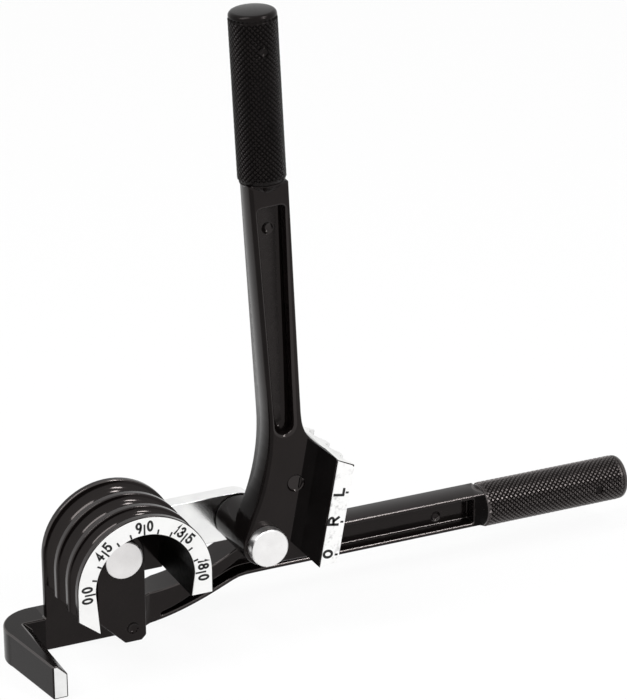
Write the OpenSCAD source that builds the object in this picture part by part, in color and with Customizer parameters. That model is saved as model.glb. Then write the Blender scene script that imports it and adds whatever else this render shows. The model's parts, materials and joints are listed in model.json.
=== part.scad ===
// Lever tube bender with a three-groove half-round form, a swinging shoe handle and knurled grips.
// Frame: millimetres, X along the fixed handle towards its grip, Z up, Y along the form axis.
// The front, with the angle scale, faces -Y. The origin is on the flat foot, below the form axis.

/* [Form] */
// radius of the form's rims, which is also the bend radius of the tube
form_r = 23.75; // [22.5:0.25:24.5]
// smallest tube that the form takes
tube_small = 6.35; // [6:0.05:6.6]
// middle tube that the form takes
tube_mid = 7.94; // [7.6:0.02:8.2]
// largest tube that the form takes
tube_large = 9.53; // [9.2:0.01:9.8]
// side play of a tube in its groove
tube_play = 0.2; // [0.1:0.05:0.4]
// thickness of each rim beside a groove
rim_t = 2.4; // [2:0.1:2.8]
// radius of the hollow inside the form
arch_r = 17.3; // [16.5:0.1:17.8]
// how far the left leg runs below the axis, measured on the outside
leg_out = 9.4; // [7:0.2:11]
// how far the left leg runs below the axis, measured on the inside
leg_in = 15.2; // [13:0.2:17]
// how far the right leg runs below the axis
leg_right = 8.1; // [6:0.1:9.5]
// how far the legs lean inward at their lower ends
leg_lean = 1.2; // [0.6:0.1:1.6]
// how far the web inside the form runs below the axis
web_low = 10.5; // [10:0.25:13]
// width of the post that carries the form pin
post_w = 17.2; // [15:0.2:18.4]
// how far the post runs below the axis
post_low = 32.7; // [31.5:0.1:33.2]
// slanted corner at the post's lower left
post_cut = 9.6; // [8:0.2:10.4]
// front of the post, measured forward of the form's back
post_front = 12; // [10.5:0.25:13.5]
// thickness of the web inside the form
web_t = 3; // [2.4:0.2:4]

/* [Fixed handle] */
// height of the form axis above the foot
axis_h = 34.4; // [33.6:0.2:36]
// height of the bar under the form
bar_h = 12; // [11:0.1:12.6]
// depth of the bar, front to back
bar_d = 10.5; // [9.5:0.25:11.5]
// underside of the straight beam, measured below the form axis
beam_low = 23.1; // [22.5:0.1:23.8]
// height of the straight beam
beam_h = 12.2; // [11.4:0.1:12.6]
// where the straight beam ends and the grip begins
beam_end = 143.5; // [138:0.5:152]
// depth of the beam's front recess
recess_d = 5; // [4:0.25:5.5]
// thickness of the beam's flanges
flange_t = 1.5; // [1.2:0.1:2]
// extra depth at the back of the bend between bar and beam
bend_extra = 1.5; // [0.5:0.25:2]
// room between the largest tube and the hook
hook_play = 0.3; // [0.2:0.1:0.8]
// width of the hook's tip
tip_w = 5.2; // [4.4:0.1:5.8]
// width of the hook's root
root_w = 10.2; // [9:0.2:11]
// how far the hook's tip stands in front of the form's back
tip_out = 36; // [34.5:0.5:38]
// bevel along the hook's inner edge
tip_bevel = 3.4; // [2:0.2:4]

/* [Link and pins] */
// distance between the two pins
link_len = 47.5; // [46:0.5:50]
// height of the link
link_h = 17; // [15:0.5:17.4]
// thickness of the link
link_t = 6; // [5.2:0.1:6.4]
// radius of both pins
pin_r = 4; // [3.6:0.1:4.4]
// radius of the pin heads
head_r = 6.75; // [6.2:0.05:7.4]
// thickness of the form pin's head
form_head_t = 3.6; // [2.8:0.1:4.2]
// thickness of the handle pin's head
handle_head_t = 4; // [3.2:0.1:4.6]
// radial play of a turning pin
pin_play = 0.05; // [0.03:0.01:0.08]
// thickness of the washers in front of the link
washer_t = 0.5; // [0.4:0.05:0.7]
// flat running gap beside the link
face_gap = 0.1; // [0.08:0.01:0.2]

/* [Shoe handle] */
// front of the handle, measured forward of the form's back
body_front = 24; // [23:0.25:25]
// back of the handle at the shoe, measured forward of the form's back
body_back = 13; // [11.5:0.25:14.5]
// radius of the hub on the handle pin
hub_r = 8; // [7.6:0.1:8.6]
// lean of the shoe from the upright
shoe_lean = 10.3; // [9:0.1:11.5]
// thickness of the shoe
shoe_t = 6.75; // [6.3:0.05:7.4]
// gap between the rims of shoe and form when they face each other
shoe_gap = 0.8; // [0.6:0.1:1.4]
// depth of the slot in the lever's front
slot_d = 5.9; // [4:0.1:6.2]
// radius of the slot's lower end
slot_r = 3.3; // [2.9:0.1:3.5]
// how far the ramp beside the shoe reaches over the handle's face
ramp_w = 7.1; // [4:0.1:8]

/* [Grips] */
// radius over the knurled grips
grip_r = 8; // [7.4:0.1:8.6]
// length of each grip
grip_len = 57.5; // [50:0.5:62]
// length of the flare where each handle runs into its grip
flare_len = 4.5; // [3.5:0.25:6]
// how far the lower grip's axis lies below the middle of the beam
grip_drop = 0.5; // [0.2:0.1:0.8]
// radius of the core inside each grip
core_r = 5.5; // [5:0.1:5.8]
// lean of the upper grip from the upright
grip_lean = 2.74; // [2.2:0.02:3.2]
// radius of the cross pin that holds each grip
lock_r = 1.5; // [1.2:0.1:1.8]

/* [Labels and screws] */
// thickness of the printed plates
label_t = 0.4; // [0.3:0.05:0.6]
// black border left around the printed plates
border = 0.3; // [0.2:0.05:0.6]
// radius of the screws behind the form
screw_r = 2; // [1.6:0.1:2.2]

/* [Hidden] */
$fn = 72;

groove_s = tube_small + tube_play;
groove_m = tube_mid + tube_play;
groove_l = tube_large + tube_play;
form_d = groove_s + groove_m + groove_l + 4 * rim_t;
// each groove: depth of its middle forward of the form's back, and its radius
grooves = [[rim_t + groove_l / 2, groove_l / 2],
           [2 * rim_t + groove_l + groove_m / 2, groove_m / 2],
           [3 * rim_t + groove_l + groove_m + groove_s / 2, groove_s / 2]];

bar_bot = -axis_h;
bar_top = bar_bot + bar_h;
bar_front = -rim_t;
bar_back = bar_front + bar_d;
beam_bot = -beam_low;
beam_top = beam_bot + beam_h;
beam_front = 0.5;
beam_back = beam_front + bar_d;
beam_mid = (beam_bot + beam_top) / 2;
beam_y = (beam_front + beam_back) / 2;
hook_in = form_r + tube_large / 2 + hook_play;
hook_out = hook_in + root_w;
hook_round = 13;
bend_a = 10;
bend_b = 49;

link_y0 = washer_t + face_gap;
link_y1 = link_y0 + link_t;
tail_washer_t = 0.8;
clip_t = 0.8;
tail_y0 = link_y1 + face_gap;
clip_y0 = tail_y0 + tail_washer_t;
pin_end = clip_y0 + clip_t + 1;
clip_neck = pin_r - 0.7;

shoe_face = link_len - form_r - shoe_gap;
shoe_back = shoe_face - shoe_t;
shoe_rear = rim_t - 0.9;
grip_y = -(body_front - 4);
grip_x = 2.7;
grip_z = 127.5;
body_top = grip_z;
body_back_top = body_front - 7.5;
lock_from_end = 12.5;

reach = 2 * beam_end;
// a rise that starts gently and ends in a rounded knee, from 0 to 1
function rise(t, p) = t <= 0 ? 0 : (pow(t, p) + 1 - sqrt(pow(pow(t, p) - 1, 2) + 0.01)) / 2.0;
function bend_low(x) = bar_bot + (beam_bot - bar_bot) * rise((x - bend_a) / (bend_b - bend_a - 1), 1.7);
function bend_top(x) = bar_top + (beam_top - bar_top) * rise((x - bend_a - 2.5) / (bend_b - bend_a - 2), 2.1);
function blend(a, b, t) = a + (b - a) * t;

// a flat shape drawn in x and z, given thickness from y0 to y1
module along_y(y0, y1) {
    translate([0, y1, 0])
        rotate([90, 0, 0])
            linear_extrude(height = y1 - y0)
                children();
}

module rod_y(r, y0, y1) {
    along_y(y0, y1)
        circle(r = r);
}

module at_axis() {
    translate([0, 0, axis_h])
        children();
}

module at_pin() {
    translate([link_len, 0, axis_h])
        children();
}

// the upper grip's own frame: its z runs up the leaning grip, from the grip's lower end
module at_upper_grip() {
    at_pin()
        translate([grip_x, grip_y, grip_z])
            rotate([0, -grip_lean, 0])
                children();
}

// the lower grip's own frame: its z runs along the fixed handle, from the grip's near end
module at_lower_grip() {
    translate([beam_end, beam_y, axis_h + beam_mid - grip_drop])
        rotate([0, 90, 0])
            children();
}

// rim outline of the form: half round above the axis, a leg on each side below it
module form_outline() {
    leg_x = form_r - leg_relief;
    union() {
        difference() {
            intersection() {
                circle(r = form_r);
                translate([-form_r - 1, -0.5])
                    square([2 * form_r + 2, form_r + 2]);
            }
            circle(r = arch_r);
            translate([-arch_r, -form_r])
                square([2 * arch_r, form_r]);
        }
        polygon([[-leg_x, 1], [-arch_r - 0.2, 1], [-arch_r, 0], [-arch_r + leg_lean, -leg_in],
                 [-leg_x, -leg_out]]);
        polygon([[leg_x, 1], [arch_r + 0.2, 1], [arch_r, 0], [arch_r - leg_lean, -leg_right],
                 [leg_x, -leg_right]]);
    }
}

// outline of the printed scale, set in from the rim all round
module scale_outline() {
    r1 = form_r - border;
    r0 = arch_r + border;
    polygon(concat(
        [for (a = [180:-3:0]) [r1 * cos(a), r1 * sin(a)]],
        [[r1, -leg_right + border], [r0 - leg_lean, -leg_right + border]],
        [for (a = [0:3:180]) [r0 * cos(a), r0 * sin(a)]],
        [[-r0 + leg_lean, -leg_in + 1.6 * border], [-r1, -leg_out + border * 0.6]]
    ));
}

module form_grooves() {
    for (g = grooves) {
        intersection() {
            rotate([90, 0, 0])
                translate([0, 0, g[0]])
                    rotate_extrude()
                        translate([form_r, 0])
                            circle(r = g[1]);
            translate([-2 * form_r, -2 * form_d, 0])
                cube([4 * form_r, 2 * form_d, 2 * form_r]);
        }
        for (side = [-1, 1])
            translate([side * form_r, -g[0], -leg_in - 5])
                cylinder(r = g[1], h = leg_in + 5);
    }
}

leg_relief = 0.05;
screw_spots = [[0, -pin_r - 10.5], [3, bar_bot + 6.2]];
dowel_spots = [[-arch_r + 5, -5], [arch_r - 5, -5]];
dowel_r = 1.5;
screw_len = 8.5;
screw_head_r = 3.5;
screw_head_t = 2.4;

module post_outline() {
    half = post_w / 2;
    round_c = 1.7;
    union() {
        circle(r = half);
        polygon([[-half, 0], [half, 0], [half, -post_low + round_c], [half - round_c, -post_low],
                 [post_cut - half, -post_low], [-half, -post_low + post_cut]]);
    }
}

module bending_form() {
    color([0.03, 0.03, 0.03])
        at_axis()
            difference() {
                union() {
                    along_y(-form_d, -rim_t)
                        form_outline();
                    along_y(-rim_t - web_t, -rim_t)
                        union() {
                            intersection() {
                                circle(r = arch_r + 0.6);
                                translate([-form_r, -1])
                                    square([2 * form_r, 2 * form_r]);
                            }
                            translate([-arch_r - 0.3, -web_low])
                                square([2 * arch_r + 0.6, web_low]);
                        }
                    along_y(-post_front, -rim_t)
                        post_outline();
                }
                form_grooves();
                rod_y(pin_r + pin_play, -post_front - 1, 1);
                for (p = screw_spots)
                    translate([p[0], 0, p[1]])
                        rod_y(screw_r + 0.05, -screw_len - 0.3, 0);
                for (p = dowel_spots)
                    translate([p[0], 0, p[1]])
                        rod_y(dowel_r + 0.05, -rim_t - 1.9, 0);
                translate([3.7, 0, -post_low + 5.2])
                    rod_y(2.3, -post_front - 1, -post_front + 0.35);
            }
}

module fixed_side_outline() {
    xs = [for (i = [0:20]) blend(bend_a, bend_b + 9, i / 20)];
    polygon(concat(
        [[hook_round - hook_out, bar_top], [hook_round - hook_out, bar_bot]],
        [for (x = xs) [x, bend_low(x)]],
        [[beam_end, beam_bot], [beam_end, beam_top]],
        [for (i = [20:-1:0]) [xs[i], bend_top(xs[i])]]
    ));
}

module fixed_plan() {
    polygon([[-hook_out - 1, bar_front], [9, bar_front], [15, beam_front], [beam_end + 1, beam_front],
             [beam_end + 1, beam_back], [bend_b + 10, beam_back], [bend_b - 4, beam_back + bend_extra],
             [20, beam_back + bend_extra], [8, bar_back], [-hook_out - 1, bar_back]]);
}

// front recess of the beam: it follows the bend and runs out to a point near the bar
module front_recess() {
    tip_x = bend_a + 9;
    run = bend_b + 6;
    lower = [for (i = [0:16]) let (x = blend(tip_x, run, i / 16)) [x, bend_low(x) + flange_t]];
    upper = [for (i = [16:-1:1]) let (x = blend(tip_x, run, i / 16))
             [x, min(bend_top(x) - flange_t,
                     blend(bend_low(tip_x) + flange_t + 1.2, beam_top - flange_t, pow(i / 16, 1.3)))]];
    far_end = [[beam_end - flare_len, beam_bot + flange_t], [beam_end - flare_len, beam_top - flange_t]];
    polygon(concat(lower, far_end, upper, [[tip_x, bend_low(tip_x) + flange_t + 1.2]]));
}

module back_plate() {
    along_y(-rim_t, 0)
        union() {
            intersection() {
                circle(r = form_r);
                translate([-form_r, -leg_right])
                    square([2 * form_r, 2 * form_r]);
            }
            translate([-form_r, bar_bot + 0.5])
                square([form_r + post_w / 2, axis_h - 0.5]);
            translate([0, -web_low])
                square([form_r - 1, web_low]);
        }
}

module hook() {
    difference() {
        union() {
            translate([0, 0, bar_bot])
                linear_extrude(height = bar_h)
                    polygon([[-hook_in, bar_back - hook_round], [-hook_in, -tip_out],
                             [-hook_in - tip_w, -tip_out], [-hook_out, bar_back - hook_round]]);
            intersection() {
                translate([hook_round - hook_out, bar_back - hook_round, bar_bot])
                    cylinder(r = hook_round, h = bar_h);
                translate([-hook_out - 1, bar_front - 10, bar_bot])
                    cube([hook_round + 1, 2 * hook_round, bar_h]);
            }
        }
        translate([-hook_in, -tip_out, bar_bot - 1])
            cube([2 * hook_round, tip_out + bar_front, bar_h + 2]);
        along_y(-tip_out - 1, bar_front)
            polygon([[-hook_in - tip_bevel, bar_top], [-hook_in, bar_top - tip_bevel],
                     [-hook_in + 1, bar_top - tip_bevel], [-hook_in + 1, bar_top + 1],
                     [-hook_in - tip_bevel, bar_top + 1]]);
    }
}

// long recess with round ends, drawn in x and z
module slot(x0, x1, z0, z1) {
    r = (z1 - z0) / 2;
    translate([x0 + r, z0])
        square([x1 - x0 - r, z1 - z0]);
    translate([x0 + r, z0 + r])
        circle(r = r);
}

module fixed_handle() {
    color([0.03, 0.03, 0.03]) {
        difference() {
            union() {
                at_axis() {
                    back_plate();
                    hook();
                    intersection() {
                        along_y(-2 * bar_d, 2 * bar_d)
                            fixed_side_outline();
                        translate([0, 0, -2 * axis_h])
                            linear_extrude(height = 4 * axis_h)
                                fixed_plan();
                    }
                }
                at_lower_grip()
                    union() {
                        translate([0, 0, -2])
                            cylinder(r = core_r, h = grip_len - 2.5);
                        translate([0, 0, -flare_len])
                            cylinder(r1 = bar_d / 2 - 0.4, r2 = grip_r - 0.3, h = flare_len);
                    }
            }
            at_axis() {
                rod_y(pin_r + pin_play, -rim_t - 1, 1);
                for (p = screw_spots)
                    translate([p[0], 0, p[1]]) {
                        rod_y(screw_r + 0.2, -rim_t - 1, 1);
                        rod_y(screw_head_r + 0.3, 0, bar_back + 1);
                    }
                for (p = dowel_spots)
                    translate([p[0], 0, p[1]])
                        rod_y(dowel_r + 0.05, -rim_t - 1, 1);
                along_y(bar_front - 1, beam_front + recess_d)
                    front_recess();
                along_y(beam_back - 2.4, beam_back + 1)
                    slot(bend_b + 12, beam_end - flare_len, beam_bot + flange_t, beam_top - flange_t);
                translate([beam_end - 17.1, 0, beam_mid - 1.5])
                    rod_y(1.5, beam_front, beam_front + recess_d + 0.3);
            }
            at_lower_grip()
                translate([0, 0, grip_len - lock_from_end])
                    rod_y(lock_r + 0.05, -grip_r, grip_r);
        }
    }
}

module form_screws() {
    color([0.35, 0.35, 0.36])
        at_axis()
            for (p = screw_spots)
                translate([p[0], 0, p[1]])
                    difference() {
                        union() {
                            rod_y(screw_r, -screw_len, 0.2);
                            rod_y(screw_head_r, 0, screw_head_t);
                        }
                        along_y(screw_head_t - 1.2, screw_head_t + 1)
                            circle(r = 1.7, $fn = 6);
                    }
}

module form_dowels() {
    color([0.6, 0.6, 0.6])
        at_axis()
            for (p = dowel_spots)
                translate([p[0], 0, p[1]])
                    rod_y(dowel_r, -rim_t - 1.8, -0.2);
}

module angle_scale() {
    color([0.92, 0.92, 0.9])
        at_axis()
            along_y(-form_d - label_t, -form_d)
                scale_outline();
}

// a headed pin: head in front of y0, shank back to the tail, neck for the clip
module headed_pin(y0, head_t) {
    rotate([90, 0, 0])
        translate([0, 0, -pin_end])
            rotate_extrude()
                polygon([[0, 0], [pin_r - 0.4, 0], [pin_r, 0.4], [pin_r, pin_end - clip_y0 - clip_t],
                         [clip_neck, pin_end - clip_y0 - clip_t], [clip_neck, pin_end - clip_y0],
                         [pin_r, pin_end - clip_y0], [pin_r, pin_end - y0],
                         [head_r, pin_end - y0], [head_r, pin_end - y0 + head_t - 0.35],
                         [head_r - 0.35, pin_end - y0 + head_t], [0, pin_end - y0 + head_t]]);
}

module washer_y(r, y0, y1) {
    difference() {
        rod_y(r, y0, y1);
        rod_y(pin_r + pin_play, y0 - 1, y1 + 1);
    }
}

module spring_clip() {
    along_y(clip_y0, clip_y0 + clip_t)
        difference() {
            circle(r = pin_r + 2.2);
            circle(r = clip_neck + 0.05);
            translate([-clip_neck * 0.8, -2 * pin_r])
                square([clip_neck * 1.6, 2 * pin_r]);
        }
}

module form_pin() {
    color([0.75, 0.75, 0.74])
        at_axis()
            headed_pin(-post_front, form_head_t);
}

module form_pin_shim() {
    color([0.6, 0.6, 0.6])
        at_axis()
            washer_y(pin_r + 3.2, 0, washer_t);
}

module form_pin_washer() {
    color([0.6, 0.6, 0.6])
        at_axis()
            washer_y(pin_r + 2.8, tail_y0, clip_y0);
}

module form_pin_clip() {
    color([0.25, 0.25, 0.26])
        at_axis()
            spring_clip();
}

module link() {
    color([0.8, 0.8, 0.8])
        at_axis()
            along_y(link_y0, link_y1)
                difference() {
                    union() {
                        circle(r = link_h / 2);
                        translate([0, -link_h / 2])
                            square([link_len, link_h]);
                        translate([link_len, 0])
                            circle(r = link_h / 2);
                    }
                    circle(r = pin_r + pin_play);
                    translate([link_len, 0])
                        circle(r = pin_r + pin_play);
                }
}

module handle_pin() {
    color([0.85, 0.85, 0.84])
        at_pin()
            headed_pin(-body_front - face_gap, handle_head_t);
}

module handle_pin_shim() {
    color([0.6, 0.6, 0.6])
        at_pin()
            washer_y(pin_r + 3.2, face_gap, washer_t + face_gap);
}

module handle_pin_washer() {
    color([0.6, 0.6, 0.6])
        at_pin()
            washer_y(pin_r + 2.8, tail_y0, clip_y0);
}

module handle_pin_clip() {
    color([0.25, 0.25, 0.26])
        at_pin()
            spring_clip();
}

// front view of the shoe handle, drawn in x and z from the handle pin
module handle_outline() {
    union() {
        circle(r = hub_r);
        polygon([[-4.5, body_top], [1.7, 46.4], [1.8, 41], [1.5, 34], [0.5, 27], [-1, 20.6], [-3, 14.6],
                 [-5, 9.4], [-hub_r * 0.93, hub_r * 0.36], [0, -hub_r], [shoe_back + 1, -8.2],
                 [shoe_back + 5, -5], [shoe_back + 8, 26], [shoe_back + 6.2, 30.4], [17.4, 35.3],
                 [15.4, 38], [14.3, 41], [13.8, 44.6], [13.6, 48], [9.9, body_top]]);
    }
}

module handle_side() {
    polygon([[-body_front - 1, -40], [-body_back, -40], [-body_back, 50], [-body_back_top, body_top + 1],
             [-body_front - 1, body_top + 1]]);
}

// the shoe's own frame: x away from the handle pin towards the grooves, z along the grooves
module in_shoe() {
    rotate([0, shoe_lean, 0])
        children();
}

module shoe_outline(inset = 0) {
    polygon([[shoe_back + inset, -4.6 + inset], [shoe_face - inset, -2.8 + inset],
             [shoe_face - inset, 32.3 - inset], [shoe_back + inset, 34.1 - 1.2 * inset]]);
}

// the label's outline: the shoe's front less a border, with one corner rounded
module label_outline() {
    r = 1.1;
    left = shoe_back + border;
    right = shoe_face - border;
    top_right = 32.3 - border;
    top_left = 34.1 - 1.2 * border;
    slope = (top_left - top_right) / (right - left);
    turn_z = top_right + r * (slope - sqrt(1 + slope * slope));
    hull() {
        polygon([[left, -4.6 + border], [right, -2.8 + border], [right, turn_z], [left, top_left]]);
        translate([right - r, turn_z])
            circle(r = r);
    }
}

// the two slopes that rise from the handle's face to the shoe's front, seen along the grooves
module ramp() {
    high = form_d - body_front;
    polygon([[shoe_back + 0.6, -body_front + 0.6], [shoe_back - ramp_w, -body_front + 0.6],
             [shoe_back - ramp_w, -body_front], [shoe_back - 0.56 * ramp_w, -body_front - 0.21 * high],
             [shoe_back, -form_d + 0.6], [shoe_back + 0.6, -form_d + 0.6]]);
}

module shoe_handle() {
    slot_tilt = 3.05;
    slot_low = 38.6;
    slot_len = body_top - slot_low - slot_r - flare_len - 3.4;
    color([0.03, 0.03, 0.03])
        difference() {
            union() {
                at_pin() {
                    rod_y(hub_r, -body_front, 0);
                    intersection() {
                        along_y(-body_front, 0)
                            handle_outline();
                        translate([-reach / 2, 0, 0])
                            rotate([90, 0, 90])
                                linear_extrude(height = reach)
                                    handle_side();
                    }
                    in_shoe() {
                        along_y(-form_d, -shoe_rear)
                            shoe_outline();
                        intersection() {
                            translate([0, 0, -form_r])
                                linear_extrude(height = 3 * form_r)
                                    ramp();
                            along_y(-form_d, 0)
                                polygon([[shoe_back - 9, 2.2], [shoe_back, -4.6], [shoe_face, -2.8],
                                         [shoe_face, 30], [shoe_back + 0.5, 34], [shoe_back - 9, 39]]);
                        }
                    }
                }
                at_upper_grip()
                    union() {
                        translate([0, 0, -2])
                            cylinder(r = core_r, h = grip_len - 2.5);
                        translate([0, 0, -flare_len])
                            cylinder(r1 = 4.2, r2 = grip_r - 0.3, h = flare_len);
                    }
            }
            at_pin() {
                rod_y(pin_r + pin_play, -body_front - 1, 1);
                in_shoe()
                    for (g = grooves)
                        translate([shoe_face + shoe_gap, -g[0], -form_r])
                            cylinder(r = g[1], h = 4 * form_r);
                along_y(-body_front - 1, -body_front + slot_d)
                    translate([7.6, slot_low + slot_r])
                        rotate(slot_tilt)
                            union() {
                                circle(r = slot_r);
                                polygon([[-slot_r, 0], [slot_r, 0], [slot_r * 1.5, slot_len],
                                         [-slot_r * 1.5, slot_len]]);
                            }
                translate([hub_r * 1.4, 0, hub_r * 2.525])
                    rod_y(3.1, -form_d - 1, -body_front + 0.45);
                translate([slot_r * 1.4, 0, slot_low + slot_len - 6.1])
                    rod_y(2.15, -body_front, -body_front + slot_d + 0.6);
            }
            at_upper_grip()
                translate([0, 0, grip_len - lock_from_end])
                    rod_y(lock_r + 0.05, -grip_r, grip_r);
        }
}

module shoe_label() {
    color([0.92, 0.92, 0.9])
        at_pin()
            in_shoe()
                along_y(-form_d - label_t, -form_d)
                    label_outline();
}

module grip_sleeve() {
    round_r = 2;
    difference() {
        rotate_extrude()
            difference() {
                union() {
                    square([grip_r, grip_len - round_r]);
                    square([grip_r - round_r, grip_len]);
                    translate([grip_r - round_r, grip_len - round_r])
                        circle(r = round_r);
                }
                translate([0, -1])
                    square([core_r + 0.05, grip_len - 3]);
            }
        translate([0, 0, grip_len - lock_from_end])
            rod_y(lock_r + 0.05, -grip_r - 1, grip_r + 1);
    }
}

module grip_lock() {
    translate([0, 0, grip_len - lock_from_end])
        rod_y(lock_r, -grip_r + 0.5, grip_r - 0.5);
}

module lower_grip() {
    color([0.04, 0.04, 0.04])
        at_lower_grip()
            grip_sleeve();
}

module lower_grip_lock() {
    color([0.08, 0.08, 0.08])
        at_lower_grip()
            grip_lock();
}

module upper_grip() {
    color([0.04, 0.04, 0.04])
        at_upper_grip()
            grip_sleeve();
}

module upper_grip_lock() {
    color([0.08, 0.08, 0.08])
        at_upper_grip()
            grip_lock();
}

fixed_handle();
bending_form();
form_screws();
form_dowels();
angle_scale();
form_pin();
form_pin_shim();
form_pin_washer();
form_pin_clip();
lower_grip();
lower_grip_lock();
link();
handle_pin();
handle_pin_shim();
handle_pin_washer();
handle_pin_clip();
shoe_handle();
shoe_label();
upper_grip();
upper_grip_lock();
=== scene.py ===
import bpy
import bmesh
import json
import math
from mathutils import Matrix, Vector
from mathutils.bvhtree import BVHTree


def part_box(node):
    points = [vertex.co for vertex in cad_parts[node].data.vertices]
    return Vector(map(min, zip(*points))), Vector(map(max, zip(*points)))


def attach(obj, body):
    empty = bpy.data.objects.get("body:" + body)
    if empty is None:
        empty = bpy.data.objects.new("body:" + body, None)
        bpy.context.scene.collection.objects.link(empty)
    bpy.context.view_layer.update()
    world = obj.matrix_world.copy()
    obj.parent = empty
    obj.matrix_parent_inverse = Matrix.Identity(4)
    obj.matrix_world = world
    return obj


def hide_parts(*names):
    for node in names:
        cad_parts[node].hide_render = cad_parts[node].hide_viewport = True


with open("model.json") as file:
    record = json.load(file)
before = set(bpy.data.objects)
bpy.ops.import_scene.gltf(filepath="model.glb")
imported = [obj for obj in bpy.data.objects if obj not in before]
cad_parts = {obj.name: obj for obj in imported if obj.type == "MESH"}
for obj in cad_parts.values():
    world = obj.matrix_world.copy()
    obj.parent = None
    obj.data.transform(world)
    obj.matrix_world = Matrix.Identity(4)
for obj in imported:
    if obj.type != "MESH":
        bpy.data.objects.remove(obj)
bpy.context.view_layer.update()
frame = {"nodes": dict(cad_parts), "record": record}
nodes = frame["nodes"]
scene = bpy.context.scene
MM = 0.001
TINY = 1e-7
ALONG_Y = Matrix.Rotation(math.pi / 2, 4, "X")

# sizes in millimetres and leans in degrees, as in the part's own source
AXIS_H, LINK_LEN, PIN_BORE = 34.4, 47.5, 4.05

# the bending form, about its pin; the grooves' middles and radii run from the back
FORM_R, FORM_D, ARCH_R, RIM_T = 23.75, 34.02, 17.3, 2.4
LEG_OUT, LEG_IN, LEG_RIGHT, LEG_LEAN = 9.4, 15.2, 8.1, 1.2
WEB_R, WEB_T, WEB_LOW = ARCH_R + 0.3, 3.0, 10.5
POST_W, POST_LOW, POST_CUT, POST_CORNER, POST_FRONT = 17.2, 32.7, 9.6, 1.7, 12.0
POST_MARK = (3.7, 5.2 - POST_LOW)
GROOVES = ((7.265, 4.865), (18.6, 4.07), (28.345, 3.275))
LIP_R, FLOOR_D = 0.38, 0.9

# the fixed handle: where its hook, its round mark and the block in front of its grip lie, and where the
# painted highlight line along its upper edges stops
HOOK_FROM, HOOK_TIP_Y, MARK_X, BLOCK_FROM = -23.9, -35.0, 126.4, 139.0
HIGHLIGHT_END, HIGHLIGHT_LOW = BLOCK_FROM + 0.6, 22.7
BEAM_FROM, BEAM_MID_Y = 50.0, 7.5

# the lever, about its pin
HUB_R, HUB_D = 8.0, 14.0
BODY_FRONT, BODY_BACK, BODY_MID = -24.0, -13.0, -19.5
TAPER, TAPER_FROM, TAPER_LEN = 3.5, 50.0, 78.5
FLANK_LOW, FLANK_FADE = AXIS_H + 9.0, 14.0
# the top of the painted shade on the lever's left flank, and the height of each of its steps
FLANK_SHADE_TOP, FLANK_SHADE_STEP = AXIS_H + 47.0, 4.2
SLOT_R, SLOT_D, SLOT_LEN, SLOT_CORNER, SLOT_TILT = 3.3, 5.9, 77.7, 1.6, 3.05
SLOT_FOOT = Vector((7.6, 41.9))
EJECTOR, EJECTOR_R, DIMPLE = Vector((11.2, 20.2)), 3.1, Vector((4.6, 110.2))
SHOE_LEAN, SHOE_GAP, SHOE_T, SHOE_REAR = 10.3, 0.8, 6.75, -1.5
SHOE_FACE = LINK_LEN - FORM_R - SHOE_GAP
SHOE_BACK = SHOE_FACE - SHOE_T
SHOE_LOW, SHOE_HIGH, SHOE_DRAFT = -4.6, 34.1, 1.8
RAMP_W, RAMP_SUNK, RAMP_KNEE = 7.1, 0.6, 0.5
RAMP_LOW_SLOPE, RAMP_HIGH, RAMP_HIGH_SLOPE = 0.76, 34.0, 0.5263

# the grips, each from the foot of its sleeve
GRIP_R, GRIP_LEN, GRIP_LEAN, CORE_R = 8.0, 57.5, 2.74, 5.55
LOCK_R, LOCK_FROM_END = 1.55, 12.5
LOWER_GRIP, LOWER_TURN = (143.5, 5.75, AXIS_H - 17.5), Matrix.Rotation(math.pi / 2, 4, "Y")
UPPER_GRIP = (LINK_LEN + 2.7, -18.5, AXIS_H + 127.5)
UPPER_TURN = Matrix.Rotation(-math.radians(GRIP_LEAN), 4, "Y")


def new_object(name, bm, smooth_angle=35.0):
    """An object from a bmesh, shaded smooth, with edges above the angle kept sharp (none at 180)."""
    mesh = bpy.data.meshes.new(name)
    bm.normal_update()
    bm.to_mesh(mesh)
    bm.free()
    obj = bpy.data.objects.new(name, mesh)
    scene.collection.objects.link(obj)
    for poly in mesh.polygons:
        poly.use_smooth = True
    if smooth_angle < 180:
        mesh.set_sharp_from_angle(angle=math.radians(smooth_angle))
    return obj


def put(obj, body, slot, material, *replaced):
    """Hang a piece on its body, with its material and the CAD nodes that it stands for; the slot is not used.
    """
    if material:
        obj.data.materials.clear()
        obj.data.materials.append(material)
    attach(obj, body)
    if replaced:
        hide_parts(*replaced)


def settle(obj):
    """Turn the object's modifiers into its mesh."""
    graph = bpy.context.evaluated_depsgraph_get()
    ready = obj.evaluated_get(graph)
    mesh = bpy.data.meshes.new_from_object(ready, preserve_all_data_layers=True, depsgraph=graph)
    old = obj.data
    obj.modifiers.clear()
    obj.data = mesh
    bpy.data.meshes.remove(old)


def polar(r, angle):
    return r * math.cos(angle), r * math.sin(angle)


# ---------------------------------------------------------------- materials

def make_material(name):
    """A new material, with its node tree and its main shader."""
    mat = bpy.data.materials.new(name)
    mat.use_nodes = True
    tree = mat.node_tree
    return mat, tree, tree.nodes["Principled BSDF"]


def node(tree, kind, **values):
    """A shader node, with its inputs or properties set by name."""
    n = tree.nodes.new(kind)
    for key, value in values.items():
        if key in n.inputs:
            n.inputs[key].default_value = value
        else:
            setattr(n, key, value)
    return n


def ramp(tree, low, high, at=(0.3, 0.7)):
    """A colour ramp between two colours."""
    n = tree.nodes.new("ShaderNodeValToRGB")
    for stop, place, colour in zip(n.color_ramp.elements, at, (low, high)):
        stop.position = place
        stop.color = (*colour, 1)
    return n


def rough_ramp(tree, rough):
    low, high = rough
    return ramp(tree, (low, low, low), (high, high, high))


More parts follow.
